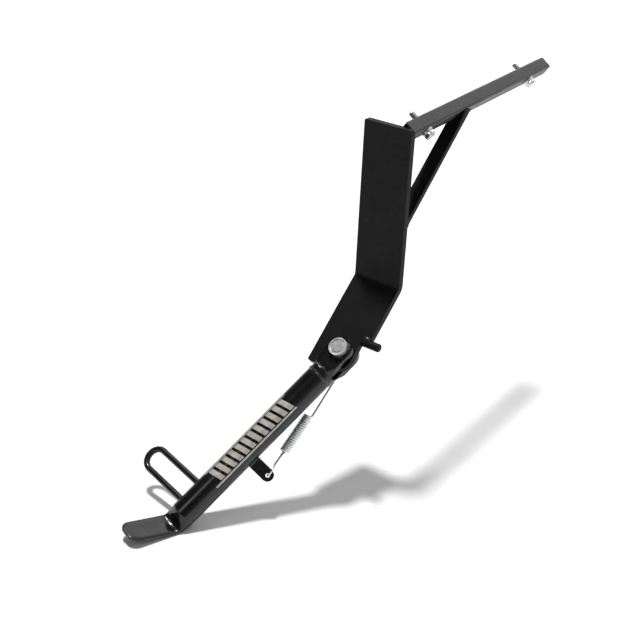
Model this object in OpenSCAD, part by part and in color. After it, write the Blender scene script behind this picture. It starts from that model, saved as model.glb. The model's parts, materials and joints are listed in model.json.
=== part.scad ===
// Motorcycle side stand on its welded mounting bracket, all in mm.
// +X is the width of the bracket plate towards the rear of the machine, +Y runs inboard
// along the cross bar, +Z is up. The origin is where the near fixing bolt leaves the bar.
// The leg is drawn deployed, resting against its forward stop.

/* [Bracket plate] */
// Width of the flat bar
plate_w = 50.8; // [40:0.1:65]
// Thickness of the flat bar
plate_t = 6.35; // [5:0.05:10]
// Height of the upright part above the bend
plate_up = 154.7; // [110:0.1:200]
// Length of the lower part below the bend
plate_low = 95.8; // [80:0.1:120]
// Outward bend of the lower part, degrees
bend_deg = 48; // [30:0.5:60]
// Inside radius of the bend
bend_r = 5; // [3:0.5:12]
// Corner radius at the top rear corner
corner_big = 5; // [2:0.5:10]
// Radius of the other corners
corner_small = 1.6; // [0.5:0.1:4]

/* [Pivot] */
// Pivot distance from the front edge of the plate
pivot_x = 29.1; // [22:0.1:35]
// Pivot distance below the bend line
pivot_u = 76.1; // [60:0.1:90]
// Radius of the pivot bolt shank
pivot_r = 5; // [4:0.5:7]
// Radial running clearance of the pivot bolt
pivot_gap = 0.05; // [0.02:0.01:0.1]
// Radius of the round bolt head
head_r = 8.8; // [7:0.1:11]
// Height of the round bolt head
head_h = 6; // [4:0.1:7]
// Forward lean of the deployed leg, degrees
leg_lean = 18.4; // [10:0.1:30]

/* [Cross bar] */
// Outside size of the square tube
bar_s = 14; // [12:0.1:15]
// Wall of the square tube
bar_wall = 1.6; // [1:0.1:3]
// Outside corner radius of the square tube
bar_r = 2; // [0.5:0.1:3]
// Length of the cross bar
bar_len = 271; // [240:1:320]
// Turn of the square section about its own axis, degrees
bar_turn = 36; // [0:1:45]
// Bar axis from the front edge of the plate
bar_x = 41.6; // [30:0.1:45]
// Bar axis above the bend line
bar_z = 149.9; // [130:0.1:151]
// Rise of the bar towards its free end, degrees
bar_rise = 1; // [0:0.1:3]
// Forward turn of the bar towards its free end, degrees
bar_yaw = 1.7; // [0:0.1:3]
// Near bolt, distance from the back of the plate
bolt_near = 25.5; // [20:0.1:60]
// Far bolt, distance from the back of the plate
bolt_far = 227; // [150:1:260]

/* [Brace] */
// Width of the brace
brace_w = 14; // [10:0.5:25]
// Thickness of the brace
brace_t = 5; // [3:0.5:8]
// Rise of the brace above the horizontal, degrees
brace_deg = 43; // [35:1:55]
// Height of the lower edge of the brace at the plate
brace_z = 62; // [40:1:90]

/* [Leg] */
// Outside radius of the leg tube
tube_r = 12.7; // [10:0.1:16]
// Wall of the leg tube
tube_wall = 2.5; // [1.5:0.1:4]
// Depth of the fork slot below the pivot
slot_s = 25.2; // [22:0.1:30]
// Thickness of the round fork root
root_t = 6; // [4:0.5:10]
// Distance from the pivot to the squashed end
tube_end_s = 211; // [205:1:217]
// Thickness of each fork ear
ear_t = 6.35; // [5:0.05:6.5]
// Side clearance between plate and ears
ear_gap = 0.4; // [0.3:0.05:1]

/* [Foot] */
// Width of the foot
foot_w = 24.5; // [23:0.5:50]
// Thickness of the foot
foot_t = 4.2; // [3:0.1:8]
// Length of the flat foot
foot_len = 48.5; // [35:1:80]
// Outward bend of the foot against the leg, degrees
foot_bend = 47; // [30:1:60]
// Forward turn of the foot in its own plane, degrees
foot_turn = 9; // [0:1:20]
// Radius of the foot nose corners
foot_r = 9; // [4:0.5:11]

/* [Foot loop] */
// Radius of the loop rod
rod_r = 3.1; // [2.5:0.1:5]
// Distance from the pivot to the middle of the loop
loop_s = 192; // [150:0.1:195]
// Half the spacing of the two loop arms
loop_half = 10.8; // [8:0.1:16]
// Outer reach of the loop from the leg axis
loop_reach = 78.8; // [60:0.1:90]
// Tilt of the loop towards the foot, degrees
loop_tilt = 6; // [0:0.5:15]

/* [Spring] */
// Radius of the spring wire
wire_r = 1.15; // [0.8:0.05:2]
// Mean radius of the coil
coil_r = 4.1; // [3:0.1:7]
// Number of close-wound turns
coil_turns = 17; // [10:1:34]
// Distance of the spring plane behind the middle of the plate
spring_y = 20; // [18:0.5:26]
// Distance from the pivot to the tab hole along the leg
tab_s = 131.3; // [110:0.1:150]
// Radius of the tab hole centre from the leg axis
tab_hole_q = 30.9; // [26:0.1:36]
// Angle of the tab behind the swing plane, degrees
tab_deg = 40; // [0:1:60]
// Width of the spring tab
tab_w = 12.6; // [10:0.1:18]
// Thickness of the spring tab
tab_t = 4; // [3:0.5:6]
// Height of the spring post above the pivot
post_v = 27; // [24:0.5:36]
// Offset of the spring post to the front of the pivot
post_x = 1.6; // [0:0.1:6]

/* [Stop] */
// Radius of the stop rod
lug_r = 4; // [3:0.5:6]
// Length of the stop rod
lug_len = 19; // [12:1:28]
// Height of the stop rod above the pivot
lug_v = 16.4; // [14:0.1:20]

/* [Decal] */
// Number of slanted bars in the silver pattern
decal_n = 12; // [6:1:14]
// Width of each slanted bar along the leg
decal_w = 5.2; // [3:0.1:6]
// Turn of the pattern round the leg towards the rear, degrees
decal_turn = 12; // [0:1:30]

/* [Hidden] */
fine = 96;
mid = 48;
eps = 0.01;
seat_start = 3;
seat_bevel = 14;
bend_steps = 16;
half_t = plate_t / 2;
ear_in = half_t + ear_gap;
ear_out = ear_in + ear_t;
ear_taper = 11;
bend_run = bend_r * tan(bend_deg / 2);
root_s = slot_s + root_t;
stub_r = tube_r - tube_wall - 0.05;
stub_len = 15;
neck_x = 13.4;
cut_v = lug_v + lug_r + 0.05;
bolt_r = 3;
bolt_hole_r = 3.3;
bolt_len = 25;
bolt_head_h = 4;
bolt_head_r = 5.77;
washer_r = 6;
flat_t = 1.4;
lock_t = 1.5;
lock_r = 5.2;
washer_t = flat_t + lock_t;
free_len = bolt_len - washer_t - bar_s;
nut_h = 6;
nut_r = 9.24;
shank_end = ear_out + nut_h + 1.4;
post_r = 3.5;
post_end = spring_y + wire_r + 2.6;
hook_r = 5;
post_hook_r = post_r + wire_r + 0.1;
foot_start = 224;
weld_r = 2.2;
film = 0.15;
seat_x = -bar_s / 2 * cos(bar_turn);
seat_y = bolt_near * cos(bar_rise) - bar_s / 2 * sin(bar_turn) * sin(bar_rise);
seat_z = bolt_near * sin(bar_rise) + bar_s / 2 * sin(bar_turn) * cos(bar_rise);
origin_x = bar_x + seat_x * cos(bar_yaw) - seat_y * sin(bar_yaw);
origin_y = plate_t + seat_x * sin(bar_yaw) + seat_y * cos(bar_yaw);
origin_z = bar_z + seat_z;
steel_dark = [0.09, 0.09, 0.10];
steel_gloss = [0.03, 0.03, 0.035];
zinc = [0.78, 0.79, 0.80];
silver = [0.66, 0.63, 0.56];

// Tab hole and spring post, both in the deployed leg's own axes
hole_x = tab_hole_q * cos(tab_deg);
hole_z = -tab_s;
anchor_x = post_v * sin(leg_lean) * -1 - post_x * cos(leg_lean);
anchor_z = post_v * cos(leg_lean) - post_x * sin(leg_lean);
span_x = anchor_x - hole_x;
span_z = anchor_z - hole_z;
span = sqrt(span_x * span_x + span_z * span_z);
spring_lean = atan2(span_x, span_z);
coil_pitch = 2 * wire_r - 0.02;
coil_len = coil_turns * coil_pitch;
coil_start = 27;
coil_end = coil_start + coil_len;
neck_len = span - post_hook_r - coil_end;

// Places a child drawn from the front end of the bend line
module row_frame() {
    translate([-origin_x, -origin_y, -origin_z]) children();
}

// Axes of the pivot: X rearwards, -Y out of the plate face, Z up the lower part
module pivot_frame() {
    row_frame() rotate([-bend_deg, 0, 0]) translate([pivot_x, half_t, -pivot_u]) children();
}

// Axes of the deployed leg: the leg runs down -Z
module leg_frame() {
    pivot_frame() rotate([0, leg_lean, 0]) children();
}

// Axes of the cross bar: Z along the bar from the back of the plate
module bar_frame() {
    row_frame() translate([bar_x, plate_t, bar_z]) rotate([bar_rise, 0, bar_yaw])
        rotate([0, bar_turn, 0]) rotate([-90, 0, 0]) children();
}

// Cylinder lying along -Y and +Y, from y1 to y2
module cyl_y(r, y1, y2, facets = fine) {
    translate([0, y2, 0]) rotate([90, 0, 0]) cylinder(r = r, h = y2 - y1, $fn = facets);
}

// Cylinder lying along X, from x1 to x2
module cyl_x(r, x1, x2, facets = fine) {
    translate([x1, 0, 0]) rotate([0, 90, 0]) cylinder(r = r, h = x2 - x1, $fn = facets);
}

// Rounded square outline
module soft_square(s, r) {
    square([s - 2 * r, s], center = true);
    square([s, s - 2 * r], center = true);
    for (sx = [-1, 1], sy = [-1, 1])
        translate([sx * (s / 2 - r), sy * (s / 2 - r)]) circle(r = r, $fn = mid);
}

// Material outside a round corner at the origin, for a corner facing +X +Y
module corner_cut(r) {
    difference() {
        square([r + 1, r + 1]);
        circle(r = r, $fn = mid);
    }
}

// Side view of the bent flat bar: 2D X is +Y, 2D Y is +Z
module plate_profile() {
    outer_r = bend_r + plate_t;
    step_deg = bend_deg / bend_steps;
    polygon(concat(
        [[0, plate_up], [plate_t, plate_up]],
        [for (i = [0 : bend_steps]) [-bend_r + outer_r * cos(i * step_deg),
            bend_run - outer_r * sin(i * step_deg)]],
        [[plate_t * cos(bend_deg) - plate_low * sin(bend_deg),
            -plate_t * sin(bend_deg) - plate_low * cos(bend_deg)],
        [-plate_low * sin(bend_deg), -plate_low * cos(bend_deg)]],
        [for (i = [bend_steps : -1 : 0]) [-bend_r + bend_r * cos(i * step_deg),
            bend_run - bend_r * sin(i * step_deg)]]));
}

// Cutter for the front view, in the frame of the upper or the lower part
module plate_cut() {
    translate([0, 2 * plate_t, 0]) rotate([90, 0, 0]) linear_extrude(3 * plate_t) children();
}

module bracket_plate() {
    neck = pivot_x + neck_x;
    color(steel_dark) row_frame() difference() {
        rotate([90, 0, 90]) linear_extrude(plate_w) plate_profile();
        plate_cut() translate([corner_small, plate_up - corner_small]) rotate(90)
            corner_cut(corner_small);
        plate_cut() translate([plate_w - corner_big, plate_up - corner_big])
            corner_cut(corner_big);
        rotate([-bend_deg, 0, 0]) {
            plate_cut() translate([neck, -plate_low - 1])
                square([plate_w, plate_low + 1 - pivot_u + cut_v]);
            plate_cut() translate([corner_small, -plate_low + corner_small]) rotate(180)
                corner_cut(corner_small);
            plate_cut() translate([neck - 14, -plate_low + 14]) rotate(-90) corner_cut(14);
            translate([pivot_x, half_t, -pivot_u])
                cyl_y(pivot_r + pivot_gap, -plate_t, plate_t);
        }
    }
}

// Square tube with its seating face bevelled next to the plate
module cross_bar() {
    color(steel_dark) difference() {
        bar_frame() difference() {
            translate([0, 0, -1]) linear_extrude(bar_len + 1) difference() {
                soft_square(bar_s, bar_r);
                soft_square(bar_s - 2 * bar_wall, bar_r - bar_wall + 0.2);
            }
            for (d = [bolt_near, bolt_far])
                translate([0, 0, d]) cyl_x(bolt_hole_r, -bar_s, bar_s, mid);
            translate([-bar_s / 2, -bar_s, seat_start]) rotate([0, -seat_bevel, 0])
                translate([-bar_s, 0, -bar_s]) cube([bar_s, 2 * bar_s, bar_s]);
        }
        row_frame() translate([0, plate_t - plate_w, plate_up - plate_w])
            cube([2 * plate_w, plate_w, 2 * plate_w]);
    }
}

// Solid envelope of the cross bar and all above its axis
module bar_shadow() {
    bar_frame() translate([0, 0, -1]) linear_extrude(bar_len) soft_square(bar_s, bar_r);
    bar_frame() translate([0, 0, -plate_w]) rotate([0, 0, -bar_turn])
        translate([-2 * plate_w, -bar_len, 0]) cube([4 * plate_w, bar_len, bar_len]);
}

module brace() {
    color(steel_dark) difference() {
        row_frame() translate([plate_w - brace_w, plate_t, brace_z]) rotate([brace_deg, 0, 0])
            translate([0, -plate_w, 0]) cube([brace_w, 4 * plate_w, brace_t]);
        row_frame() translate([-1, plate_t - 4 * plate_w, -plate_w])
            cube([2 * plate_w, 4 * plate_w, 6 * plate_w]);
        bar_shadow();
    }
}

module stop_lug() {
    color(steel_dark) pivot_frame() translate([0, 0, lug_v]) {
        cyl_x(lug_r, neck_x + 0.05, neck_x + lug_len - 1);
        translate([neck_x + lug_len - 1, 0, 0]) rotate([0, 90, 0])
            cylinder(r1 = lug_r, r2 = lug_r - 1, h = 1, $fn = fine);
    }
}

module spring_post() {
    color(steel_dark) pivot_frame() translate([-post_x, 0, post_v]) {
        cyl_y(post_r, half_t, post_end);
        cyl_y(post_r + 2, post_end - 1.4, post_end + 0.6);
    }
}

// One fixing bolt: the head is on +X, the free thread on -X
module mount_bolt() {
    translate([bar_s / 2 + washer_t, 0, 0]) rotate([0, 90, 0]) rotate([0, 0, 30])
        cylinder(r = bolt_head_r, h = bolt_head_h - 0.5, $fn = 6);
    translate([bar_s / 2 + washer_t + bolt_head_h - 0.6, 0, 0]) rotate([0, 90, 0])
        cylinder(r1 = bolt_head_r - 0.75, r2 = bolt_head_r - 1.4, h = 0.6, $fn = mid);
    cyl_x(bolt_r - 0.35, -bar_s / 2 - 0.1, bar_s / 2 + washer_t + 0.1, mid);
    cyl_x(bolt_r, -bar_s / 2 - free_len + 0.6, -bar_s / 2, mid);
    translate([-bar_s / 2 - free_len, 0, 0]) rotate([0, 90, 0])
        cylinder(r1 = bolt_r - 0.6, r2 = bolt_r, h = 0.6, $fn = mid);
}

module mount_bolts() {
    color(zinc) bar_frame() for (d = [bolt_near, bolt_far]) translate([0, 0, d]) mount_bolt();
}

module mount_washers() {
    color(zinc) bar_frame() for (d = [bolt_near, bolt_far]) translate([bar_s / 2, 0, d])
        difference() {
            union() {
                cyl_x(washer_r, 0, flat_t, mid);
                cyl_x(lock_r, flat_t - eps, washer_t, mid);
            }
            cyl_x(bolt_hole_r - 0.1, -1, washer_t + 1, mid);
        }
}

// Fillet beads round the bar where it meets the plate, none on the seating face
module weld_bar() {
    color(steel_dark) difference() {
        bar_frame() for (a = [0, 180, 270]) rotate([0, 0, a])
            translate([0, bar_s / 2, 0.4])
                cyl_x(weld_r, -bar_s / 2 + 1, bar_s / 2 - 1, mid);
        bar_frame() translate([0, 0, -1]) linear_extrude(bar_len)
            soft_square(bar_s, bar_r);
        row_frame() translate([-plate_w, -plate_w, plate_up - plate_w])
            cube([3 * plate_w, plate_w + plate_t, 2 * plate_w]);
        row_frame() translate([-plate_w, 0, plate_up])
            cube([3 * plate_w, 2 * plate_w, plate_w]);
        row_frame() translate([plate_w, 0, 0]) cube([plate_w, 2 * plate_w, 4 * plate_w]);
    }
}

// Beads at both ends of the brace
module weld_brace() {
    brace_up = brace_z + brace_t / cos(brace_deg);
    color(steel_dark) difference() {
        union() {
            row_frame() translate([0, plate_t + 0.4, brace_up])
                cyl_x(weld_r, plate_w - brace_w + 0.6, plate_w - 0.6, mid);
            row_frame() translate([0, plate_t + 0.4, brace_z])
                cyl_x(weld_r, plate_w - brace_w + 0.6, plate_w - 0.6, mid);
        }
        row_frame() translate([-1, plate_t - plate_w, 0])
            cube([2 * plate_w, plate_w, 3 * plate_w]);
        row_frame() translate([0, plate_t, brace_z]) rotate([brace_deg, 0, 0])
            translate([0, -plate_w, 0]) cube([plate_w, 4 * plate_w, brace_t]);
    }
}

// Beads that hold the stop rod to the cut edge and the neck of the plate
module weld_lug() {
    color(steel_dark) pivot_frame() difference() {
        for (sy = [-1, 1]) translate([0, sy * (half_t - 0.2), cut_v - 0.3])
            cyl_x(1.9, neck_x + 1.4, plate_w - pivot_x - 1, mid);
        translate([0, 0, lug_v]) cyl_x(lug_r, 0, plate_w);
        translate([-pivot_x, -half_t, cut_v]) cube([plate_w, plate_t, plate_w]);
        translate([neck_x - plate_w, -plate_w / 2, -plate_w])
            cube([plate_w, plate_w, 2 * plate_w]);
    }
}

module weld_post() {
    color(steel_dark) pivot_frame() translate([-post_x, 0, post_v]) difference() {
        translate([0, half_t, 0]) rotate([-90, 0, 0])
            cylinder(r1 = post_r + 2.2, r2 = post_r + 0.3, h = 2.2, $fn = mid);
        cyl_y(post_r, -plate_w, plate_w);
    }
}

module leg_tube() {
    color(steel_gloss) leg_frame() translate([0, 0, -tube_end_s]) difference() {
        cylinder(r = tube_r, h = tube_end_s - root_s, $fn = fine);
        translate([0, 0, -1]) cylinder(r = tube_r - tube_wall, h = tube_end_s, $fn = fine);
    }
}

module fork_root() {
    color(steel_gloss) leg_frame() {
        translate([0, 0, -root_s]) cylinder(r = tube_r, h = root_t, $fn = fine);
        translate([0, 0, -root_s - stub_len])
            cylinder(r = stub_r, h = stub_len + eps, $fn = fine);
    }
}

// One flat ear between y1 and y2
module fork_ear(y1, y2) {
    difference() {
        union() {
            cyl_y(tube_r, y1, y2);
            translate([-tube_r, y1, -slot_s]) cube([2 * tube_r, y2 - y1, slot_s]);
        }
        cyl_y(pivot_r + pivot_gap, y1 - 1, y2 + 1);
        difference() {
            translate([-2 * tube_r, y1 - 1, -slot_s - 1])
                cube([4 * tube_r, y2 - y1 + 2, ear_taper + 1]);
            translate([0, 0, -slot_s - 2]) cylinder(r = tube_r, h = 2.01, $fn = fine);
            translate([0, 0, -slot_s])
                cylinder(r1 = tube_r, r2 = tube_r + 3.6, h = ear_taper + eps, $fn = fine);
        }
    }
}

module fork_front_ear() {
    color(steel_gloss) leg_frame() fork_ear(-ear_out, -ear_in);
}

module fork_rear_ear() {
    color(steel_gloss) leg_frame() fork_ear(ear_in, ear_out);
}

module pivot_bolt() {
    color(zinc) leg_frame() {
        difference() {
            union() {
                cyl_y(head_r, -ear_out - head_h + 1, -ear_out);
                translate([0, -ear_out - head_h + 1, 0]) rotate([90, 0, 0])
                    cylinder(r1 = head_r, r2 = head_r - 1, h = 1, $fn = fine);
            }
            translate([0, -ear_out - head_h - 1, 0]) rotate([-90, 0, 0]) difference() {
                cylinder(r = head_r - 1.9, h = 1.8, $fn = fine);
                translate([0, 0, -1]) cylinder(r = head_r - 3.2, h = 4, $fn = fine);
            }
        }
        cyl_y(pivot_r, -ear_out - eps, ear_out);
        cyl_y(pivot_r - 0.2, ear_out - eps, shank_end - 0.8);
        translate([0, shank_end - 0.8, 0]) rotate([-90, 0, 0])
            cylinder(r1 = pivot_r - 0.2, r2 = pivot_r - 1, h = 0.8, $fn = fine);
    }
}

module pivot_nut() {
    color(zinc) leg_frame() translate([0, ear_out, 0]) rotate([-90, 0, 0]) difference() {
        intersection() {
            cylinder(r = nut_r, h = nut_h, $fn = 6);
            cylinder(r1 = nut_r + 4, r2 = nut_r - 0.9, h = nut_h, $fn = fine);
        }
        translate([0, 0, -1]) cylinder(r = pivot_r - 0.15, h = nut_h + 2, $fn = fine);
    }
}

// Axes of the flat foot: Z out along the foot, X across it, +Y is its upper face
module foot_frame() {
    leg_frame() translate([0, 0, -foot_start]) rotate([180 - foot_bend, 0, 0])
        children();
}

module tube_end() {
    color(steel_gloss) difference() {
        leg_frame() hull() {
            translate([0, 0, -tube_end_s - 4]) cylinder(r = tube_r, h = 4, $fn = 32);
            translate([-foot_w / 2 + 0.25, -foot_t / 2, -foot_start - 0.5])
                rotate([foot_bend / 2, 0, 0]) cube([foot_w - 0.5, foot_t, 1.5]);
        }
        foot_frame() translate([-foot_w, -foot_t, 0]) cube([2 * foot_w, 2 * foot_t, foot_w]);
    }
}

module foot_plate() {
    nose = foot_len - foot_r;
    color(steel_gloss) foot_frame() translate([0, foot_t / 2, 0]) rotate([90, 0, 0])
        linear_extrude(foot_t) {
            difference() {
                rotate(foot_turn) union() {
                    translate([-foot_w / 2, -foot_w / 2])
                        square([foot_w, nose + foot_w / 2]);
                    translate([-foot_w / 2 + foot_r, 0])
                        square([foot_w - 2 * foot_r, foot_len]);
                    for (sx = [-1, 1]) translate([sx * (foot_w / 2 - foot_r), nose])
                        circle(r = foot_r, $fn = fine);
                }
                translate([-2 * foot_w, -2 * foot_w]) square([4 * foot_w, 2 * foot_w]);
            }
        }
}

module foot_loop() {
    bend_x = -loop_reach + rod_r + loop_half;
    color(steel_gloss) leg_frame() difference() {
        translate([0, 0, -loop_s]) rotate([0, -loop_tilt, 0]) union() {
            for (sz = [-1, 1]) translate([0, 0, sz * loop_half]) cyl_x(rod_r, bend_x, 0);
            translate([bend_x, 0, 0]) rotate([90, 0, 0]) rotate([0, 0, 90])
                rotate_extrude(angle = 180, $fn = fine)
                    translate([loop_half, 0]) circle(r = rod_r, $fn = mid);
        }
        translate([0, 0, -2 * tube_end_s]) cylinder(r = tube_r, h = 3 * tube_end_s, $fn = fine);
    }
}

module spring_tab() {
    tip_q = tab_hole_q - 0.6;
    color(steel_gloss) leg_frame() difference() {
        translate([0, 0, -tab_s]) rotate([0, 0, tab_deg]) difference() {
            union() {
                translate([tube_r - 4, -tab_t / 2, -tab_w / 2])
                    cube([tip_q - tube_r + 4, tab_t, tab_w]);
                translate([tip_q, 0, 0]) cyl_y(tab_w / 2, -tab_t / 2, tab_t / 2);
            }
            translate([tab_hole_q, 0, 0]) cyl_y(2.2, -tab_t, tab_t);
        }
        translate([0, 0, -tube_end_s]) cylinder(r = tube_r, h = tube_end_s, $fn = fine);
    }
}

// Silver pattern of slanted bars between two thin rules, on the outer side of the tube
module leg_decal() {
    half = 7;
    step = 8.2;
    low = -171;
    color(silver) leg_frame() rotate([0, 0, decal_turn]) intersection() {
        translate([0, 0, -tube_end_s]) difference() {
            cylinder(r = tube_r + film, h = tube_end_s - root_s - 4, $fn = fine);
            translate([0, 0, -1]) cylinder(r = tube_r, h = tube_end_s, $fn = fine);
        }
        rotate([90, 0, 0]) linear_extrude(2 * tube_r) {
            for (i = [0 : decal_n - 1]) translate([0, low + 4 + i * step])
                polygon([[-half, 0], [half, 4], [half, 4 + decal_w], [-half, decal_w]]);
            for (sx = [-1, 1])
                translate([sx * (half + 1.6) - 0.6, low])
                    square([1.2, decal_n * step + 6]);
        }
    }
}

// Beads along the foot of both ears on the fork root
module weld_fork() {
    color(steel_gloss) leg_frame() difference() {
        for (sy = [-1, 1]) translate([0, sy * ear_out, -slot_s])
            cyl_x(2.4, -8.2, 8.2, mid);
        for (sy = [-1, 1]) translate([-tube_r, sy * (ear_in + ear_out) / 2 - ear_t / 2,
            -slot_s - 1]) cube([2 * tube_r, ear_t, tube_r]);
        translate([0, 0, -slot_s - tube_r]) cylinder(r = 2 * tube_r, h = tube_r, $fn = fine);
        difference() {
            translate([-2 * tube_r, -2 * tube_r, -slot_s - 1])
                cube([4 * tube_r, 4 * tube_r, 7]);
            translate([0, 0, -slot_s - 2]) cylinder(r = tube_r, h = 9, $fn = fine);
        }
    }
}

// Low bead round the joint of root and tube
module weld_ring() {
    color(steel_gloss) leg_frame() translate([0, 0, -root_s])
        rotate_extrude($fn = fine) intersection() {
            translate([tube_r - 0.9, 0]) circle(r = 1.7, $fn = mid);
            translate([tube_r, -2]) square([2, 4]);
        }
}

module weld_tab() {
    color(steel_gloss) leg_frame() difference() {
        rotate([0, 0, tab_deg]) for (sy = [-1, 1])
            translate([tube_r - 0.4, sy * (tab_t / 2 + 0.1), -tab_s - tab_w / 2 + 0.8])
                cylinder(r = 1.9, h = tab_w - 1.6, $fn = mid);
        translate([0, 0, -tube_end_s]) cylinder(r = tube_r, h = tube_end_s, $fn = fine);
        rotate([0, 0, tab_deg]) translate([0, -tab_t / 2, -tab_s - tab_w])
            cube([2 * tube_r, tab_t, 2 * tab_w]);
    }
}

module weld_loop() {
    color(steel_gloss) leg_frame() difference() {
        translate([0, 0, -loop_s]) rotate([0, -loop_tilt, 0]) for (sz = [-1, 1])
            translate([-tube_r - 1.6, 0, sz * loop_half]) rotate([0, 90, 0]) difference() {
                cylinder(r1 = rod_r + 0.3, r2 = rod_r + 1.9, h = 3.4, $fn = mid);
                translate([0, 0, -1]) cylinder(r = rod_r, h = 6, $fn = fine);
            }
        translate([0, 0, -2 * tube_end_s]) cylinder(r = tube_r, h = 3 * tube_end_s, $fn = fine);
    }
}

// Straight wire from z1 to z2
module wire(z1, z2) {
    translate([0, 0, z1]) cylinder(r = wire_r, h = z2 - z1, $fn = 32);
}

// Return spring: Z runs from the tab hole to the post
module return_spring() {
    color(zinc) leg_frame() translate([hole_x, spring_y, hole_z])
        rotate([0, spring_lean, 0]) {
            translate([0, 0, coil_start]) rotate_extrude($fn = mid) {
                for (i = [0 : coil_turns]) translate([coil_r, i * coil_pitch])
                    circle(r = wire_r, $fn = 24);
                translate([coil_r - 0.5, 0]) square([1, coil_len]);
            }
            translate([0, 0, coil_start]) cyl_x(wire_r, 0, coil_r, 32);
            wire(2 * hook_r, coil_start);
            rotate([0, 0, tab_deg]) translate([0, 0, hook_r]) rotate([90, 0, 90])
                rotate([0, 0, 90]) rotate_extrude(angle = 250, $fn = fine)
                    translate([hook_r, 0]) circle(r = wire_r, $fn = 32);
            translate([coil_r, 0, coil_end]) rotate([0, -atan2(coil_r, neck_len), 0])
                cylinder(r = wire_r, h = sqrt(neck_len * neck_len + coil_r * coil_r), $fn = 32);
            translate([0, 0, span]) rotate([90, 0, 0]) rotate([0, 0, -90])
                rotate_extrude(angle = 250, $fn = fine)
                    translate([post_hook_r, 0]) circle(r = wire_r, $fn = 32);
        }
}

bracket_plate();
cross_bar();
brace();
stop_lug();
spring_post();
mount_bolts();
mount_washers();
weld_bar();
weld_brace();
weld_lug();
weld_post();
leg_tube();
fork_root();
fork_front_ear();
fork_rear_ear();
pivot_bolt();
pivot_nut();
tube_end();
foot_plate();
foot_loop();
spring_tab();
leg_decal();
weld_fork();
weld_ring();
weld_tab();
weld_loop();
return_spring();
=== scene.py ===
import json
import math
import bpy
import bmesh
from mathutils import Matrix, Vector


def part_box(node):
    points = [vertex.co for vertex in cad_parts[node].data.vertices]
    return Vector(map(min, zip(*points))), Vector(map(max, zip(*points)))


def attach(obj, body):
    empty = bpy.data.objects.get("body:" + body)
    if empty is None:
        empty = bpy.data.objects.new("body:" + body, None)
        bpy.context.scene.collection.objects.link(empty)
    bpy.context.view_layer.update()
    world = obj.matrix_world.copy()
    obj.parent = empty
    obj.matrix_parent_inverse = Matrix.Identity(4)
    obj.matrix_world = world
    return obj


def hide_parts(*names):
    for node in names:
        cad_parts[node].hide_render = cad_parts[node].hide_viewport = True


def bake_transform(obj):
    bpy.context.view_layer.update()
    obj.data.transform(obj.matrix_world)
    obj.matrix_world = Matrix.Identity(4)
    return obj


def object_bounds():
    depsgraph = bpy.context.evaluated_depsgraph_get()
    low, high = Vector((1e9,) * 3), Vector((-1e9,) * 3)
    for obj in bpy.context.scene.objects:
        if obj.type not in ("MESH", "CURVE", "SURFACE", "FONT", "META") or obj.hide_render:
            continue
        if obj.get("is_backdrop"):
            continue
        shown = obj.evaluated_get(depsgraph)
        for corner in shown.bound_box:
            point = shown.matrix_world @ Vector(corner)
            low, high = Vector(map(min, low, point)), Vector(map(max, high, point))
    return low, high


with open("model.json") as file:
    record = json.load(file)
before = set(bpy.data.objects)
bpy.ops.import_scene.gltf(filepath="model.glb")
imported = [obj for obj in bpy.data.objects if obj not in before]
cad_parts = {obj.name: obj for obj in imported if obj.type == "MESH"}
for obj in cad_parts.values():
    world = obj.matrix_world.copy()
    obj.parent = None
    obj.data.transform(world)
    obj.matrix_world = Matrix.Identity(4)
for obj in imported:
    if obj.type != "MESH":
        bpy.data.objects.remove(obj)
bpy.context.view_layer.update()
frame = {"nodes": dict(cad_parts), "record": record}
NODES = frame["nodes"]
RECORD = frame["record"]
MM = 0.001

# Lengths are in mm unless a comment says metres, and MM turns them into the frame's metres.

# ---------------------------------------------------------------- axes of the parts
MOUNTS = {m["name"]: m for m in RECORD["mounts"]}
JOINT = RECORD["behaviour"]["joints"][0]
NEAR = Vector(MOUNTS["bolt_near"]["pos_m"])
FAR = Vector(MOUNTS["bolt_far"]["pos_m"])
BOLT_AXIS = Vector(MOUNTS["bolt_near"]["axis"]).normalized()
BAR_DIR = (FAR - NEAR).normalized()
PLATE_LO, PLATE_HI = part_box("bracket_plate")

# The leg leans in the plane of the lower plate, so its axes are the pivot's, turned about the pivot.
LEAN = math.radians(18.4)
PIVOT = Vector(JOINT["pos_m"])
PIV_X = Vector((1, 0, 0))
PIV_Y = -Vector(JOINT["axis"]).normalized()
PIV_Z = PIV_X.cross(PIV_Y)
LEG_X = PIV_X * math.cos(LEAN) - PIV_Z * math.sin(LEAN)
LEG_Z = PIV_X * math.sin(LEAN) + PIV_Z * math.cos(LEAN)


def leg_dir(x, y, z):
    """A direction of the leg's own axes: x rearwards, y inboard, z up the tube."""
    return LEG_X * x + PIV_Y * y + LEG_Z * z


def leg(x, y, z):
    """A point of the leg's own axes, whose origin is the pivot."""
    return PIVOT + leg_dir(x, y, z) * MM


def around(count):
    """Angles of count equal steps round a circle."""
    return (2 * math.pi * k / count for k in range(count))


def smooth(t):
    """Ease from 0 to 1, flat outside."""
    t = max(0.0, min(1.0, t))
    return t * t * (3 - 2 * t)


# ---------------------------------------------------------------- shader nodes
def new_material(name):
    material = bpy.data.materials.new(name)
    material.use_nodes = True
    nt = material.node_tree
    return material, nt, nt.nodes["Principled BSDF"]


def link(nt, a, b):
    nt.links.new(a, b)


def coords(nt):
    return nt.nodes.new("ShaderNodeTexCoord").outputs["Object"]


def noise(nt, coord, scale, detail, rough):
    node = nt.nodes.new("ShaderNodeTexNoise")
    node.inputs["Scale"].default_value = scale
    node.inputs["Detail"].default_value = detail
    node.inputs["Roughness"].default_value = rough
    link(nt, coord, node.inputs["Vector"])
    return node.outputs["Fac"]


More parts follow.
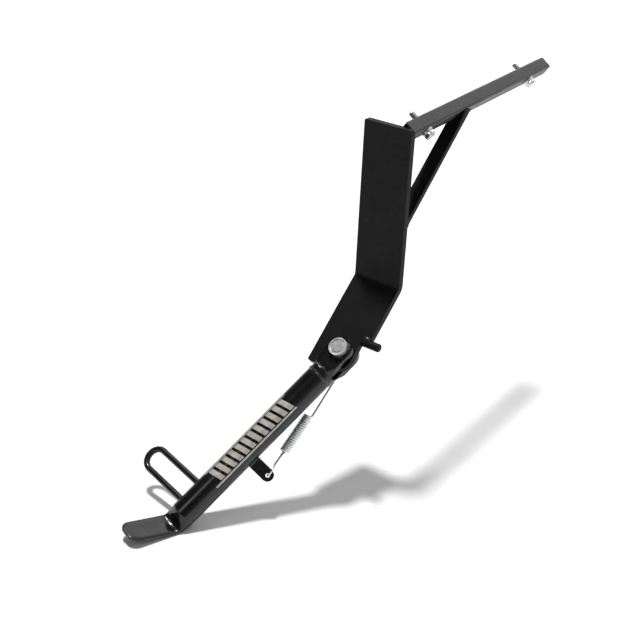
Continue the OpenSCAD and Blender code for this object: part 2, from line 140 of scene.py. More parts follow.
def stretched(nt, coord, factors):
    """Coordinates scaled by a factor of their own along each axis, for rolled marks."""
    node = nt.nodes.new("ShaderNodeMapping")
    node.inputs["Scale"].default_value = factors
    link(nt, coord, node.inputs["Vector"])
    return node.outputs["Vector"]


def ramp(nt, fac, stops):
    """Colour ramp of (position, colour) stops; a colour of one number is a grey."""
    node = nt.nodes.new("ShaderNodeValToRGB")
    elements = node.color_ramp.elements
    while len(elements) < len(stops):
        elements.new(0.5)
    for element, (position, colour) in zip(elements, stops):
        element.position = position
        element.color = (*(colour if len(colour) == 3 else colour * 3), 1)
    link(nt, fac, node.inputs["Fac"])
    return node.outputs["Color"]


def remap(nt, fac, lo, hi):
    """The middle range of a noise, spread from lo to hi."""
    node = nt.nodes.new("ShaderNodeMapRange")
    node.inputs["From Min"].default_value = 0.3
    node.inputs["From Max"].default_value = 0.7
    node.inputs["To Min"].default_value = lo
    node.inputs["To Max"].default_value = hi
    link(nt, fac, node.inputs["Value"])
    return node.outputs["Result"]


def bump(nt, height, strength, distance, normal=None):
    node = nt.nodes.new("ShaderNodeBump")
    node.inputs["Strength"].default_value = strength
    node.inputs["Distance"].default_value = distance
    link(nt, height, node.inputs["Height"])
    if normal is not None:
        link(nt, normal, node.inputs["Normal"])
    return node.outputs["Normal"]


def mixed(nt, fac, a, b):
    """Mix of two colours, each a tuple or a socket."""
    node = nt.nodes.new("ShaderNodeMix")
    node.data_type = "RGBA"
    link(nt, fac, node.inputs[0])
    for socket, colour in ((node.inputs[6], a), (node.inputs[7], b)):
        if isinstance(colour, tuple):
            socket.default_value = (*colour, 1)
        else:
            link(nt, colour, socket)
    return node.outputs[2]


# ---------------------------------------------------------------- materials
# Noise scales of paint, of zinc and of the silver print, in features per metre
CLOUD, RUB, PEEL, GRIT, FINE, DUST = 26, 60, 420, 520, 900, 2600
PATCH, BLOOM, HAZE, PITS = 55, 140, 320, 700
FILM, MATT, SPECKLE, PINHOLE = 260, 500, 1200, 1500
# Scales of the rolled marks along x, y and z: close together across the stock, long along it
ROLLED = (1500, 60, 60)
# Depths of relief, in metres
PEEL_DEPTH, FINE_DEPTH, PIT_DEPTH, MILL_DEPTH, RIPPLE_DEPTH = 0.00012, 0.00005, 0.00006, 0.00008, 0.0004


def weld_waves(nt, coord):
    """Wavy bands for the ripples of a painted weld."""
    wave = nt.nodes.new("ShaderNodeTexWave")
    wave.wave_profile = "SIN"
    wave.bands_direction = "DIAGONAL"
    wave.inputs["Scale"].default_value = 150
    wave.inputs["Distortion"].default_value = 2.5
    wave.inputs["Detail"].default_value = 2
    link(nt, coord, wave.inputs["Vector"])
    return wave.outputs["Fac"]


def paint(name, dark, light, rough, peel, spec, mill=0.0, coat=0.0, ripple=0.0):
    """Sprayed black paint on steel: faint tone changes, orange peel, dust and a few rubbed places."""
    material, nt, bsdf = new_material(name)
    co = coords(nt)
    base = ramp(nt, noise(nt, co, CLOUD, 5, 0.6), [(0.3, dark), (0.72, light)])
    grit = ramp(nt, noise(nt, co, GRIT, 4, 0.7), [(0.35, (0,)), (0.70, (0.8,))])
    base = mixed(nt, grit, base, tuple(c * 1.7 + 0.001 for c in light))
    dust = ramp(nt, noise(nt, co, DUST, 2, 0.7), [(0.62, (0,)), (0.80, (1,))])
    base = mixed(nt, dust, base, tuple(min(1, c * 2.6 + 0.012) for c in light))
    link(nt, base, bsdf.inputs["Base Color"])
    link(nt, remap(nt, noise(nt, co, RUB, 6, 0.7), *rough), bsdf.inputs["Roughness"])
    bsdf.inputs["Specular IOR Level"].default_value = spec
    if coat:
        bsdf.inputs["Coat Weight"].default_value = coat
        bsdf.inputs["Coat Roughness"].default_value = 0.06
    relief = bump(nt, noise(nt, co, PEEL, 2, 0.5), peel, PEEL_DEPTH)
    relief = bump(nt, noise(nt, co, FINE, 3, 0.6), peel * 0.7, FINE_DEPTH, relief)
    if mill:
        relief = bump(nt, noise(nt, stretched(nt, co, ROLLED), 1.0, 3, 0.6), mill, MILL_DEPTH, relief)
    if ripple:
        relief = bump(nt, weld_waves(nt, co), ripple, RIPPLE_DEPTH, relief)
    link(nt, relief, bsdf.inputs["Normal"])
    return material


def zinc(name, dark, light, rough, grain=0.25, warm=None):
    """Bright zinc plate: cloudy passivation and fine pits, with warm patches where warm is a colour."""
    material, nt, bsdf = new_material(name)
    co = coords(nt)
    base = ramp(nt, noise(nt, co, BLOOM, 5, 0.65), [(0.3, dark), (0.7, light)])
    if warm:
        patches = ramp(nt, noise(nt, co, PATCH, 3, 0.6), [(0.5, (0,)), (0.8, (0.5,))])
        base = mixed(nt, patches, base, warm)
    link(nt, base, bsdf.inputs["Base Color"])
    bsdf.inputs["Metallic"].default_value = 1.0
    link(nt, remap(nt, noise(nt, co, HAZE, 5, 0.7), *rough), bsdf.inputs["Roughness"])
    link(nt, bump(nt, noise(nt, co, PITS, 4, 0.6), grain, PIT_DEPTH), bsdf.inputs["Normal"])
    return material


def silver_print():
    """Silver screen print: a thin uneven metallic film with pinholes."""
    material, nt, bsdf = new_material("silver_print")
    co = coords(nt)
    film = ramp(nt, noise(nt, co, FILM, 5, 0.7),
                [(0.28, (0.36, 0.34, 0.29)), (0.5, (0.56, 0.53, 0.47)), (0.75, (0.70, 0.68, 0.62))])
    holes = ramp(nt, noise(nt, co, PINHOLE, 3, 0.7), [(0.27, (0,)), (0.36, (1,))])
    link(nt, mixed(nt, holes, (0.02, 0.02, 0.02), film), bsdf.inputs["Base Color"])
    bsdf.inputs["Metallic"].default_value = 0.35
    link(nt, remap(nt, noise(nt, co, MATT, 4, 0.6), 0.34, 0.55), bsdf.inputs["Roughness"])
    link(nt, bump(nt, noise(nt, co, SPECKLE, 3, 0.6), 0.3, PIT_DEPTH), bsdf.inputs["Normal"])
    return material


SATIN = paint("satin_black_paint", (0.0030, 0.0030, 0.0034), (0.0060, 0.0060, 0.0066),
              rough=(0.44, 0.62), peel=0.60, spec=0.13, mill=0.45)
BAR_PAINT = paint("bar_black_paint", (0.020, 0.020, 0.021), (0.034, 0.034, 0.035),
                  rough=(0.36, 0.52), peel=0.35, spec=0.45, mill=0.15)
GLOSS = paint("gloss_black_paint", (0.0020, 0.0020, 0.0024), (0.0050, 0.0050, 0.0056),
              rough=(0.20, 0.34), peel=0.45, spec=0.42, coat=0.2)
WELD_SATIN = paint("weld_satin_paint", (0.012, 0.012, 0.013), (0.022, 0.022, 0.023),
                   rough=(0.28, 0.42), peel=0.8, spec=0.5, ripple=0.8)
WELD_GLOSS = paint("weld_gloss_paint", (0.006, 0.006, 0.007), (0.012, 0.012, 0.013),
                   rough=(0.12, 0.22), peel=0.7, spec=0.5, coat=0.3, ripple=0.8)
ZINC = zinc("zinc_plate", (0.62, 0.63, 0.65), (0.78, 0.79, 0.80),
            rough=(0.24, 0.38), warm=(0.70, 0.66, 0.56))
PIVOT_ZINC = zinc("pivot_zinc", (0.66, 0.66, 0.66), (0.88, 0.88, 0.87), rough=(0.34, 0.52), grain=0.5)
SPRING_ZINC = zinc("spring_zinc", (0.66, 0.68, 0.71), (0.84, 0.85, 0.87), rough=(0.16, 0.28), grain=0.15)
SILVER = silver_print()

for material, names in (
        (SATIN, ("bracket_plate", "brace", "stop_lug", "spring_post")),
        (BAR_PAINT, ("cross_bar",)),
        (GLOSS, ("leg_tube", "fork_root", "fork_front_ear", "fork_rear_ear", "tube_end", "foot_plate",
                 "foot_loop", "spring_tab")),
        (WELD_SATIN, ("weld_bar", "weld_brace", "weld_lug", "weld_post")),
        (WELD_GLOSS, ("weld_fork", "weld_ring", "weld_tab", "weld_loop")),
        (ZINC, ("mount_bolts", "mount_washers")),
        (PIVOT_ZINC, ("pivot_bolt", "pivot_nut")),
        (SPRING_ZINC, ("return_spring",)),
        (SILVER, ("leg_decal",))):
    for name in names:
        for material_slot in NODES[name].material_slots:
            material_slot.material = material

# Sheared and sawn edges are never knife sharp, so these parts get small bevels.
for name, width in (("bracket_plate", 0.7), ("brace", 0.6), ("spring_tab", 0.5),
                    ("fork_front_ear", 0.7), ("fork_rear_ear", 0.7), ("cross_bar", 0.25),
                    ("pivot_nut", 0.2), ("mount_washers", 0.15), ("stop_lug", 0.3)):
    joined = NODES[name].modifiers.new("weld", "WELD")
    joined.merge_threshold = 0.00001
    edges = NODES[name].modifiers.new("edges", "BEVEL")
    edges.width = width * MM
    edges.segments = 2
    edges.limit_method = "ANGLE"
    edges.angle_limit = math.radians(35)
    edges.use_clamp_overlap = True
    edges.harden_normals = False


# ---------------------------------------------------------------- meshes
def mesh_object(name, verts, faces, material, body):
    """Smooth shaded object that rides on body, or is left free where body is None."""
    mesh = bpy.data.meshes.new(name)
    mesh.from_pydata([tuple(v) for v in verts], [], faces)
    mesh.update()
    bm = bmesh.new()
    bm.from_mesh(mesh)
    bmesh.ops.recalc_face_normals(bm, faces=bm.faces)
    bm.to_mesh(mesh)
    bm.free()
    for face in mesh.polygons:
        face.use_smooth = True
    mesh.materials.append(material)
    o = bpy.data.objects.new(name, mesh)
    bpy.context.scene.collection.objects.link(o)
    if body:
        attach(o, body)
    return o


def loft(rings):
    """Verts and faces of a closed tube through rings of equal length."""
    count = len(rings[0])
    verts = [v for ring in rings for v in ring]
    faces = []
    for i in range(len(rings) - 1):
        for j in range(count):
            a, b = i * count + j, i * count + (j + 1) % count
            faces.append((a, b, b + count, a + count))
    for i in (0, len(rings) - 1):
        tip = len(verts)
        verts.append(sum((Vector(v) for v in rings[i]), Vector()) / count)
        faces += [(i * count + j, i * count + (j + 1) % count, tip) for j in range(count)]
    return verts, faces


def tangent(points, i):
    """Unit direction of a list of points at number i."""
    return (points[min(i + 1, len(points) - 1)] - points[max(i - 1, 0)]).normalized()


def sweep(points, radius, sides):
    """Round tube along a list of points, with a section that doesn't twist."""
    rings = []
    side = tangent(points, 0).orthogonal().normalized()
    for i, p in enumerate(points):
        t = tangent(points, i)
        if i:
            side = (side - t * side.dot(t)).normalized()
        up = t.cross(side)
        rings.append([p + (side * math.cos(a) + up * math.sin(a)) * radius for a in around(sides)])
    return loft(rings)


def bezier(a, b, c, steps):
    """Points of a quadratic curve from a to c, without a itself."""
    return [a * (1 - t) ** 2 + b * (2 * t * (1 - t)) + c * t * t
            for t in (k / steps for k in range(1, steps + 1))]


# ---------------------------------------------------------------- return spring
# Radii of the wire and of the middle of the coil; neighbouring turns overlap by a hair
WIRE, COIL_R, TURNS = 1.15, 4.1, 17
PITCH = 2 * WIRE - 0.02
# The spring's plane, the tab's place along the tube, its hole from the tube's middle and its turn
SPRING_Y, TAB_S, HOLE_Q, TAB_TURN = 20.0, 131.3, 30.9, math.radians(40)
# The post above the pivot and to the side of it, and the radii of the lower and upper hooks
POST_V, POST_X, HOOK_R, POST_HOOK_R = 27.0, 1.6, 5.0, 4.75
HOLE = Vector((HOLE_Q * math.cos(TAB_TURN), 0, -TAB_S))
POST = Vector((-POST_V * math.sin(LEAN) - POST_X * math.cos(LEAN), 0,
               POST_V * math.cos(LEAN) - POST_X * math.sin(LEAN)))
# Along the spring and across it, in the leg's own axes
SPAN = (POST - HOLE).length
S_DIR = (POST - HOLE).normalized()
S_SIDE = Vector((S_DIR.z, 0, -S_DIR.x))
# Stations from the hole: both ends of the lower shank, both ends of the coil, and the neck's end
SHANK0, SHANK1, COIL0 = 2 * HOOK_R + 3, 24.5, 27.0
COIL1 = COIL0 + TURNS * PITCH
NECK_END = SPAN - POST_HOOK_R
COIL_STEPS = 20
# The part of a turn that the coil runs past its last whole one, and where its bend into the neck ends
COIL_OVERRUN, NECK_BEND = 0.42, 4


def on_spring(side, y, along):
    """Spring axes: side across, y inboard of the spring's own plane, along from hole to post."""
    return leg(*(Vector((HOLE.x, SPRING_Y + y, HOLE.z)) + S_SIDE * side + S_DIR * along))


def through_tab(deg):
    """The lower hook lies in the plane of the tab's normal and the spring."""
    a = math.radians(deg)
    out = HOOK_R * math.cos(a)
    return on_spring(-out * math.sin(TAB_TURN), out * math.cos(TAB_TURN), HOOK_R + HOOK_R * math.sin(a))


def lower_hook():
    """From the free end, round through the hole and into the shank below the coil."""
    ahead = on_spring(0, 0, 1) - on_spring(0, 0, 0)
    line = [through_tab(360) + ahead * (1.5 - 0.5 * i) for i in range(3)]
    line += [through_tab(360 - 9 * i) for i in range(1, 28)]
    line += bezier(line[-1], on_spring(0, 0, 2 * HOOK_R + 0.3), on_spring(0, 0, SHANK0), 5)
    return line + [on_spring(0, 0, SHANK0 + (SHANK1 - SHANK0) * i / 6) for i in range(1, 7)]


def coil():
    """The wire steps out from the axis to the coil's radius over half a turn, then winds."""
    line = []
    for i in range(1, 9):
        t = i / 8
        r = COIL_R * smooth(t)
        a = math.pi * t
        line.append(on_spring(r * math.cos(a), r * math.sin(a), SHANK1 + (COIL0 - SHANK1) * t))
    for i in range(1, int((TURNS + COIL_OVERRUN) * COIL_STEPS) + 1):
        a = math.pi + 2 * math.pi * i / COIL_STEPS
        line.append(on_spring(COIL_R * math.cos(a), COIL_R * math.sin(a), COIL0 + PITCH * i / COIL_STEPS))
    return line


def neck_and_hook(start):
    """Long straight neck from the side of the coil, and the hook round the post."""
    slant = Vector((-COIL_R, 0, NECK_END - COIL1)).normalized() * NECK_BEND
    side, low_end, high_end = COIL_R + slant.x, COIL1 + 5, NECK_END - 1.2
    line = bezier(start, on_spring(COIL_R, 0, COIL1 + 0.8), on_spring(side, 0, COIL1 + 1 + slant.z), 6)
    for i in range(1, 25):
        t = i / 24
        line.append(on_spring(side * (1 - t), 0, low_end + (high_end - low_end) * t))
    for i in range(27):
        a = math.radians(-84 + 245 * i / 26)
        line.append(on_spring(POST_HOOK_R * math.cos(a), 0, SPAN + POST_HOOK_R * math.sin(a)))
    return line


def return_spring():
    """The whole spring as one wire."""
    line = lower_hook() + coil()
    verts, faces = sweep(line + neck_and_hook(line[-1]), WIRE * MM, 10)
    return mesh_object("return_spring_wire", verts, faces, SPRING_ZINC, None)


# The coil and lower hook are drawn at the leg's tab and the upper hook round the bracket's post, as one
# wire left free of both bodies
spring = return_spring()
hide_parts("return_spring")
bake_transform(spring)

# ---------------------------------------------------------------- foot and squashed tube end
# Stations down the tube from the pivot: its end, and where the foot's flat plate begins
TUBE_R, TUBE_END, FOOT_AT = 12.7, 211.0, 224.0
FOOT_W, FOOT_T, FOOT_LEN, FOOT_R = 24.5, 4.2, 48.5, 9.0
FOOT_BEND, FOOT_TURN = math.radians(47), math.radians(9)
# The forged piece starts inside the tube, and its toe is drawn back to stay inside the CAD box
FOOT_FROM, FOOT_TO = TUBE_END - 6.0, FOOT_AT + FOOT_LEN - 1.05
BEND_FROM, BEND_OVER = FOOT_AT - 8.0, 16.0
STEP, TOE_STEP = 1.0, 0.45
# Where each change of the section starts, and over what length it runs
FLAT_TOP, FLAT_UNDER = (TUBE_END - 2, 19.0), (TUBE_END + 0.5, 15.0)
WIDEN, SQUARE = (TUBE_END, 14.0), (TUBE_END + 3, 16.0)
# The length over which the toe's edge is rounded, and how far the faces lie inside the CAD's
TOE_ROUND, FOOT_SKIN, TUBE_SKIN = 1.6, 0.06, 0.03
# The last section keeps some width, as if the toe ran on by this much
TOE_SPARE = 0.2
# The scoop at the bend: depth, place from FOOT_AT and width; then the depth of the hollow beyond it
SCOOP, SCOOP_AT, SCOOP_W, HOLLOW = 1.9, 2.0, 6.0, 0.35
# Powers of the superellipse: round in the tube, and how much is added for the flat plate
ROUND, SQUARER = 2, 3.4
FOOT_SIDES = 72


def eased(s, change):
    """How far a change of (start, length) has gone at station s, from 0 to 1."""
    start, run = change
    return smooth((s - start) / run)


def foot_turn(s):
    """How far the foot has bent from the tube's line at station s."""
    return FOOT_BEND * eased(s, (BEND_FROM, BEND_OVER))


def foot_path():
    """Stations along the smooth centre line: (s, centre y, centre z, turn so far)."""
    y, z, s, path = 0.0, -FOOT_FROM, FOOT_FROM, []
    while s < FOOT_TO:
        path.append((s, y, z, foot_turn(s)))
        ds = min(STEP if s < FOOT_TO - FOOT_R else TOE_STEP, FOOT_TO - s)
        mid = foot_turn(s + ds / 2)
        y -= math.sin(mid) * ds
        z -= math.cos(mid) * ds
        s += ds
    path.append((s, y, z, FOOT_BEND))
    return path


def foot_size(s, left):
    """Half width, and the reach above and below the centre line, at station s with left to go."""
    if s < TUBE_END:
        return (TUBE_R - TUBE_SKIN,) * 3
    wide, top, under = eased(s, WIDEN), eased(s, FLAT_TOP), eased(s, FLAT_UNDER)
    half_t = FOOT_T / 2 - FOOT_SKIN
    a = TUBE_R * (1 - wide) + FOOT_W / 2 * wide
    above = TUBE_R * (1 - top) + half_t * top
    below = TUBE_R * (1 - under) + half_t * under
    if left < FOOT_R:
        a = FOOT_W / 2 - FOOT_R + math.sqrt(max(0.0, FOOT_R ** 2 - (FOOT_R - left) ** 2))
    if left < TOE_ROUND:
        k = 0.45 + 0.55 * math.sqrt(max(0.05, 1 - ((TOE_ROUND - left) / TOE_ROUND) ** 2))
        above, below = above * k, below * k
    return a, above, below


def foot_section(centre, up, size, power, dish):
    """Superellipse across the foot, with a dish pressed into its upper side."""
    a, above, below = size
    ring = []
    for t in around(FOOT_SIDES):
        c, s = math.cos(t), math.sin(t)
        x = a * math.copysign(abs(c) ** (2 / power), c)
        y = (above if s >= 0 else below) * math.copysign(abs(s) ** (2 / power), s)
        if s > 0:
            y -= dish * math.exp(-((x - 0.18 * a) / (0.5 * a)) ** 2)
        ring.append(centre + (LEG_X * x + up * y) * MM)
    return ring


def forged_foot():
    """Tube end and foot as one piece, from round to flat, bent and turned."""
    rings = []
    for s, y, z, turn in foot_path():
        out, left = s - FOOT_AT, FOOT_TO + TOE_SPARE - s
        size = foot_size(s, left)
        up = (PIV_Y * -math.cos(turn) + LEG_Z * math.sin(turn)).normalized()
        scoop = SCOOP * math.exp(-((out - SCOOP_AT) / SCOOP_W) ** 2)
        hollow = HOLLOW * smooth((out - 4) / 8) * smooth((left - 6) / 12)
        shift = -math.tan(FOOT_TURN) * max(0.0, out)
        rings.append(foot_section(leg(shift, y, z), up, size, ROUND + SQUARER * eased(s, SQUARE),
                                  min(scoop + hollow, size[1] * 0.7)))
    verts, faces = loft(rings)
    return mesh_object("foot_forged", verts, faces, GLOSS, "leg")


foot = forged_foot()
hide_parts("foot_plate", "tube_end")

# ---------------------------------------------------------------- fixing bolts with real threads
# The bar's side, the height of both washers, and the bolt's length under its head
BAR_S, WASHERS, BOLT_LEN = 14.0, 2.9, 25.0
HEAD_H, HEAD_R, SHANK_R = 4.0, 5.77, 2.85
THREAD_R, THREAD_PITCH, THREAD_DEPTH, THREAD_STEP = 3.0, 1.0, 0.54, 0.125
BOLT_SIDES, SPLIT_ANGLE = 48, math.radians(38)
# The first ring of thread, counted from the seat, and the length and drop of the chamfer at the tip
THREAD_FROM, CHAMFER, CHAMFER_DROP = -0.9, 0.9, 0.75


def hexagon(a):
    """Radius of the head's hexagon at angle a."""
    k = (a + math.pi / 6) % (math.pi / 3) - math.pi / 6
    return HEAD_R * math.cos(math.pi / 6) / math.cos(k)


def thread_ring(z, depth):
    """(angle, radius) pairs of one cut across a helical V thread."""
    return [(t * 2 * math.pi, THREAD_R - depth * abs(2 * ((z / THREAD_PITCH + t) % 1.0) - 1))
            for t in (j / BOLT_SIDES for j in range(BOLT_SIDES))]


def bolt(name, seat):
    """Head, plain shank through the bar and rolled thread, along the mount's own axis."""
    side = (BAR_DIR - BOLT_AXIS * BAR_DIR.dot(BOLT_AXIS)).normalized()
    up = BOLT_AXIS.cross(side)
    under = -(BAR_S + WASHERS)
    top, tip = under - HEAD_H, under + BOLT_LEN

    def cut(z, pairs):
        return [seat + (side * math.cos(a) * r + up * math.sin(a) * r + BOLT_AXIS * z) * MM
                for a, r in pairs]

    # Outline of head and shank as (height, radius), cut off by the hexagon
    outline = [(top + 0.25, 2.6), (top + 0.02, 2.9), (top, 3.4), (top, 4.55), (top + 0.12, 4.85),
               (top + 0.55, 5.35), (top + 0.8, 5.62), (top + 1.1, HEAD_R), (under - 0.5, HEAD_R),
               (under - 0.35, 5.2), (under - 0.2, 4.9), (under, 4.9), (under, SHANK_R), (-1.0, SHANK_R)]
    rings = [cut(z, [(a, min(hexagon(a), r)) for a in around(BOLT_SIDES)]) for z, r in outline]
    z = THREAD_FROM
    while z < tip - CHAMFER:
        rings.append(cut(z, thread_ring(z, THREAD_DEPTH)))
        z += THREAD_STEP
    for t in (k / 4 for k in range(5)):
        z = tip - CHAMFER + CHAMFER * t
        rings.append(cut(z, [(a, min(r, THREAD_R - CHAMFER_DROP * t))
                             for a, r in thread_ring(z, THREAD_DEPTH * (1 - t))]))
    rings.append(cut(tip, [(a, 1.2) for a in around(BOLT_SIDES)]))
    verts, faces = loft(rings)
    o = mesh_object(name, verts, faces, ZINC, "bracket")
    o.modifiers.new("sharp", "EDGE_SPLIT").split_angle = SPLIT_ANGLE
    return o


# Both bolts are one CAD node, which the near one replaces
b1 = bolt("bolt_near_threaded", NEAR)
bolt("bolt_far_threaded", FAR)
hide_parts("mount_bolts")

# ---------------------------------------------------------------- weld beads with ripples
# Length of one ripple, and the number of sides of a bead
RIPPLE, BEAD_SIDES = 1.5, 14


def bead(points, width, flat):
    """Verts and faces of a bead of crescent ripples along (point, outward) pairs."""
    line = [p for p, _ in points]
    dist = [0.0]
    for a, b in zip(line, line[1:]):
        dist.append(dist[-1] + (b - a).length / MM)
    rings = []
    for i, (p, out) in enumerate(points):
        t = tangent(line, i)
        n = (out - t * out.dot(t)).normalized()
        side = t.cross(n)
        # Each ripple swells in its middle, the bead tapers at its ends, and its width wavers by hand
        swell = 0.84 + 0.16 * (1 - (2 * ((dist[i] / RIPPLE) % 1.0) - 1) ** 2)
        near_end = min(1.0, (min(dist[i], dist[-1] - dist[i]) + 0.3) / (0.8 * width))
        r = width * swell * math.sqrt(max(0.04, 1 - (1 - near_end) ** 2))
        wobble = 1 + 0.05 * math.sin(dist[i] * 1.9 + 0.7) + 0.04 * math.sin(dist[i] * 4.3)
        rings.append([p + (n * math.cos(a) * flat + side * math.sin(a) * wobble) * r * MM
                      for a in around(BEAD_SIDES)])
    return loft(rings)


def beads(node, paths, width, flat, body):
    """All the beads of one CAD node as one rippled mesh."""
    verts, faces = [], []
    for path in paths:
        more, skin = bead(path, width, flat)
        faces += [tuple(k + len(verts) for k in face) for face in skin]
        verts += more
    material, slot = (WELD_GLOSS, "gloss_black") if body == "leg" else (WELD_SATIN, "satin_black")
    o = mesh_object(node + "_rippled", verts, faces, material, body)
    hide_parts(node)


def circle(steps):
    """(cos, sin) pairs of a whole turn, with the first again at the end."""
    return ((math.cos(2 * math.pi * k / steps), math.sin(2 * math.pi * k / steps))
            for k in range(steps + 1))


# Round the tube, under the fork's collar
ROOT_S, RING_R = 31.2, 12.3
beads("weld_ring", [[(leg(RING_R * c, RING_R * q, -ROOT_S), leg_dir(c, q, 0)) for c, q in circle(260)]],
      1.6, 0.68, "leg")

# Round each arm of the loop, where it meets the tube
ROD_R, LOOP_S, LOOP_HALF, LOOP_TILT = 3.1, 192.0, 10.8, math.radians(6)
ARM_BEAD_R = ROD_R + 0.45


def arm_bead(way):
    """Bead on the tube's wall round the upper arm, way 1, or the lower one, way -1."""
    mid = -LOOP_S - TUBE_R * math.sin(LOOP_TILT) + way * LOOP_HALF * math.cos(LOOP_TILT)
    return [(leg(-math.sqrt(TUBE_R ** 2 - (ARM_BEAD_R * c) ** 2) - 0.15, ARM_BEAD_R * c,
                 mid + ARM_BEAD_R * q), leg_dir(-1, c, q)) for c, q in circle(90)]


beads("weld_loop", [arm_bead(way) for way in (-1, 1)], 1.35, 0.8, "leg")

# Along both sides of the spring's tab
TAB_W, TAB_T, TAB_BEAD_END = 12.6, 4.0, 0.9


def tab_bead(way):
    """Straight bead along one side of the tab, way 1 or -1."""
    x, y = TUBE_R - 0.1, way * (TAB_T / 2 + 0.35)
    c, q = math.cos(TAB_TURN), math.sin(TAB_TURN)
    return [(leg(x * c - y * q, x * q + y * c,
                 -TAB_S - TAB_W / 2 + TAB_BEAD_END + (TAB_W - 2 * TAB_BEAD_END) * k / 60),
             leg_dir(c - way * q, q + way * c, 0)) for k in range(61)]


beads("weld_tab", [tab_bead(way) for way in (-1, 1)], 1.5, 0.85, "leg")

# Three sides of the bar, kept off the seating face and inside the outline of the plate
BAR_HALF, BAR_CORNER = BAR_S / 2, 2
# From the near bolt back to the plate's face, and how far the bead's middle lies off the bar and the plate
BAR_BACK, BEAD_OUT, BEAD_UP = 25.5, 0.45, 0.5
# Where the bead turns the corner and where it ends, counted from the middle of the face by the heads
FACE_REACH, BEAD_REACH = 6, 18.5
# Least distance to the plate's edges, in metres, and to the seating face
EDGE_GAP, SEAT_GAP = 1.3 * MM, 1.5
BAR_X = -BOLT_AXIS
BAR_Y = BAR_DIR.cross(BAR_X)
BAR_O = NEAR + (BAR_X * BAR_HALF - BAR_DIR * BAR_BACK) * MM


def bar_edge(d):
    """Place and outward direction in the bar's section, d along its outline from that same middle."""
    flat = BAR_HALF - BAR_CORNER
    past = abs(d) - FACE_REACH
    if past <= 0:
        return BAR_HALF, d, 1, 0
    if past <= BAR_CORNER:
        c, q = math.cos(past / 2 * math.pi / 2), math.sin(past / 2 * math.pi / 2)
        return flat + BAR_CORNER * c, math.copysign(flat + BAR_CORNER * q, d), c, math.copysign(q, d)
    return flat - (past - BAR_CORNER), math.copysign(BAR_HALF, d), 0, math.copysign(1, d)


def bar_runs():
    """Unbroken runs of the bead round the bar."""
    runs = [[]]
    for k in range(241):
        x, y, nx, ny = bar_edge(-BEAD_REACH + 2 * BEAD_REACH * k / 240)
        p = BAR_O + (BAR_X * (x + BEAD_OUT * nx) + BAR_Y * (y + BEAD_OUT * ny) + BAR_DIR * BEAD_UP) * MM
        if p.x < PLATE_HI.x - EDGE_GAP and p.z < PLATE_HI.z - EDGE_GAP and x > -BAR_HALF + SEAT_GAP:
            runs[-1].append((p, BAR_X * nx + BAR_Y * ny + BAR_DIR))
        else:
            runs.append([])
    return [run for run in runs if len(run) > 12]


beads("weld_bar", bar_runs(), 1.7, 0.9, "bracket")


# ---------------------------------------------------------------- floor
# From the middle of the floor to its edges, and the gap under the stand, both in metres
FLOOR_REACH, FLOOR_GAP = 30.0, 0.0004


def pale_floor():
    """Plain floor just under the lowest point of the stand."""
    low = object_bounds()[0].z
    bm = bmesh.new()
    bmesh.ops.create_grid(bm, x_segments=8, y_segments=8, size=FLOOR_REACH)
    mesh = bpy.data.meshes.new("floor")
    bm.to_mesh(mesh)
    bm.free()
    o = bpy.data.objects.new("floor", mesh)
    o.location = (0, 0, low - FLOOR_GAP)
    bpy.context.scene.collection.objects.link(o)
    material, nt, bsdf = new_material("pale_floor")
    tone = ramp(nt, noise(nt, coords(nt), 3, 2, 0.5), [(0.3, (0.86,)), (0.7, (0.88,))])
    link(nt, tone, bsdf.inputs["Base Color"])
    bsdf.inputs["Roughness"].default_value = 0.9
    bsdf.inputs["Specular IOR Level"].default_value = 0.1
    mesh.materials.append(material)
    return o


floor = pale_floor()
floor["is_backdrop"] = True


# ---------------------------------------------------------------- lights
# Places, sizes and the stand's middle are in metres here, energies in watts, the sun's in W/m2
STAND_MIDDLE = Vector((0.0, -0.1, -0.2))


def lamp(name, kind, energy, aim, loc=(0, 0, 0)):
    """Light of a kind at loc that shines along aim."""
    light = bpy.data.lights.new(name, kind)
    light.energy = energy
    o = bpy.data.objects.new(name, light)
    o.location = loc
    o.rotation_mode = "QUATERNION"
    o.rotation_quaternion = Vector(aim).to_track_quat("-Z", "Y")
    bpy.context.scene.collection.objects.link(o)
    return light


def soft_disk(name, loc, size, energy):
    """Round soft light at loc that shines at the middle of the stand."""
    light = lamp(name, "AREA", energy, STAND_MIDDLE - Vector(loc), loc)
    light.shape = "DISK"
    light.size = size


lamp("overhead", "SUN", 3.0, (0.166, -0.092, -1)).angle = math.radians(6.5)
soft_disk("back_soft", (-0.55, 1.55, 1.0), 1.4, 6)
soft_disk("front_soft", (-0.35, -1.5, 0.75), 0.5, 1.6)


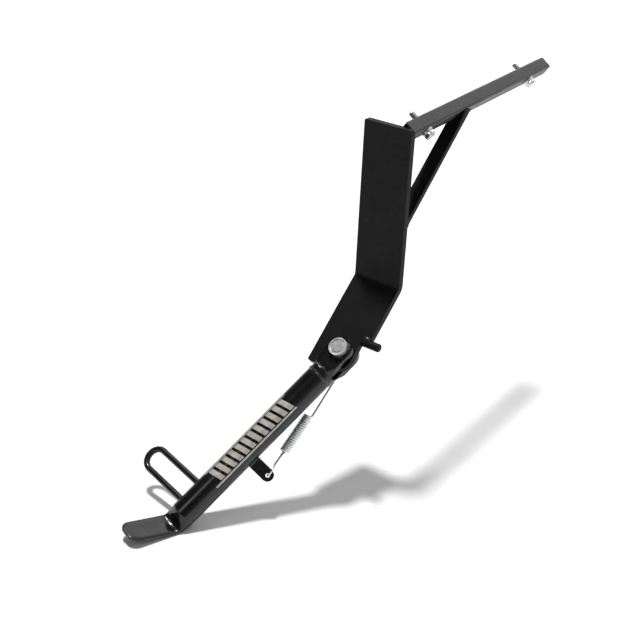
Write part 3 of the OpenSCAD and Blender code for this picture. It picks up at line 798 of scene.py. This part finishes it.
def studio():
    """World that is dark to one side and bright to the other, with a plain white backdrop."""
    world = bpy.data.worlds.new("studio")
    bpy.context.scene.world = world
    world.use_nodes = True
    nt = world.node_tree
    turned = nt.nodes.new("ShaderNodeMapping")
    turned.inputs["Rotation"].default_value = (0, 0, math.radians(25))
    link(nt, nt.nodes.new("ShaderNodeTexCoord").outputs["Generated"], turned.inputs["Vector"])
    split = nt.nodes.new("ShaderNodeSeparateXYZ")
    link(nt, turned.outputs["Vector"], split.inputs["Vector"])
    across = nt.nodes.new("ShaderNodeMapRange")
    across.inputs["From Min"].default_value = -1
    across.inputs["From Max"].default_value = 1
    link(nt, split.outputs["Y"], across.inputs["Value"])
    glow = nt.nodes["Background"]
    glow.inputs["Strength"].default_value = 0.60
    link(nt, ramp(nt, across.outputs["Result"], [(0.25, (0.035,)), (0.72, (1.0,))]), glow.inputs["Color"])
    # The backdrop seen past the floor is plain white, and the gradient only lights the stand.
    white = nt.nodes.new("ShaderNodeBackground")
    white.inputs["Color"].default_value = (1, 1, 1, 1)
    both = nt.nodes.new("ShaderNodeMixShader")
    link(nt, nt.nodes.new("ShaderNodeLightPath").outputs["Is Camera Ray"], both.inputs[0])
    link(nt, glow.outputs[0], both.inputs[1])
    link(nt, white.outputs[0], both.inputs[2])
    link(nt, both.outputs[0], nt.nodes["World Output"].inputs["Surface"])


studio()

# ---------------------------------------------------------------- camera
sc = bpy.context.scene
sc.view_settings.view_transform = "Standard"
sc.view_settings.look = "None"

# Azimuth, elevation and roll; the distance is in metres, and the focal length in pixels of a 640 image
AZ, EL, ROLL, DIST = math.radians(36.05), math.radians(28.15), math.radians(2.66), 1.100
FOCAL, IMAGE, SENSOR = 1141.26, 640, 36
PLATE_T, PLATE_UP = 6.35, 154.7
# The camera aims at a point set off from the outer corner of the plate at the bend
AIM = Vector((-13.21, -35.65, -41.40))


def photo_camera():
    """Camera at the photograph's angle, distance and focal length."""
    corner = Vector((PLATE_LO.x, PLATE_HI.y - PLATE_T * MM, PLATE_HI.z - PLATE_UP * MM))
    right = Vector((math.cos(AZ), math.sin(AZ), 0))
    ahead = Vector((-math.sin(AZ) * math.cos(EL), math.cos(AZ) * math.cos(EL), -math.sin(EL)))
    up = Vector((-math.sin(AZ) * math.sin(EL), math.cos(AZ) * math.sin(EL), math.cos(EL)))
    rolled_right = right * math.cos(ROLL) + up * math.sin(ROLL)
    rolled_up = up * math.cos(ROLL) - right * math.sin(ROLL)
    turn = Matrix((rolled_right, rolled_up, -ahead)).transposed().to_4x4()
    o = bpy.data.objects.new("camera", bpy.data.cameras.new("camera"))
    o.data.sensor_width = SENSOR
    o.data.lens = FOCAL / IMAGE * SENSOR
    o.data.clip_start, o.data.clip_end = 0.01, 50
    o.matrix_world = Matrix.Translation(corner + AIM * MM - ahead * DIST) @ turn
    sc.collection.objects.link(o)
    return o


sc.camera = photo_camera()
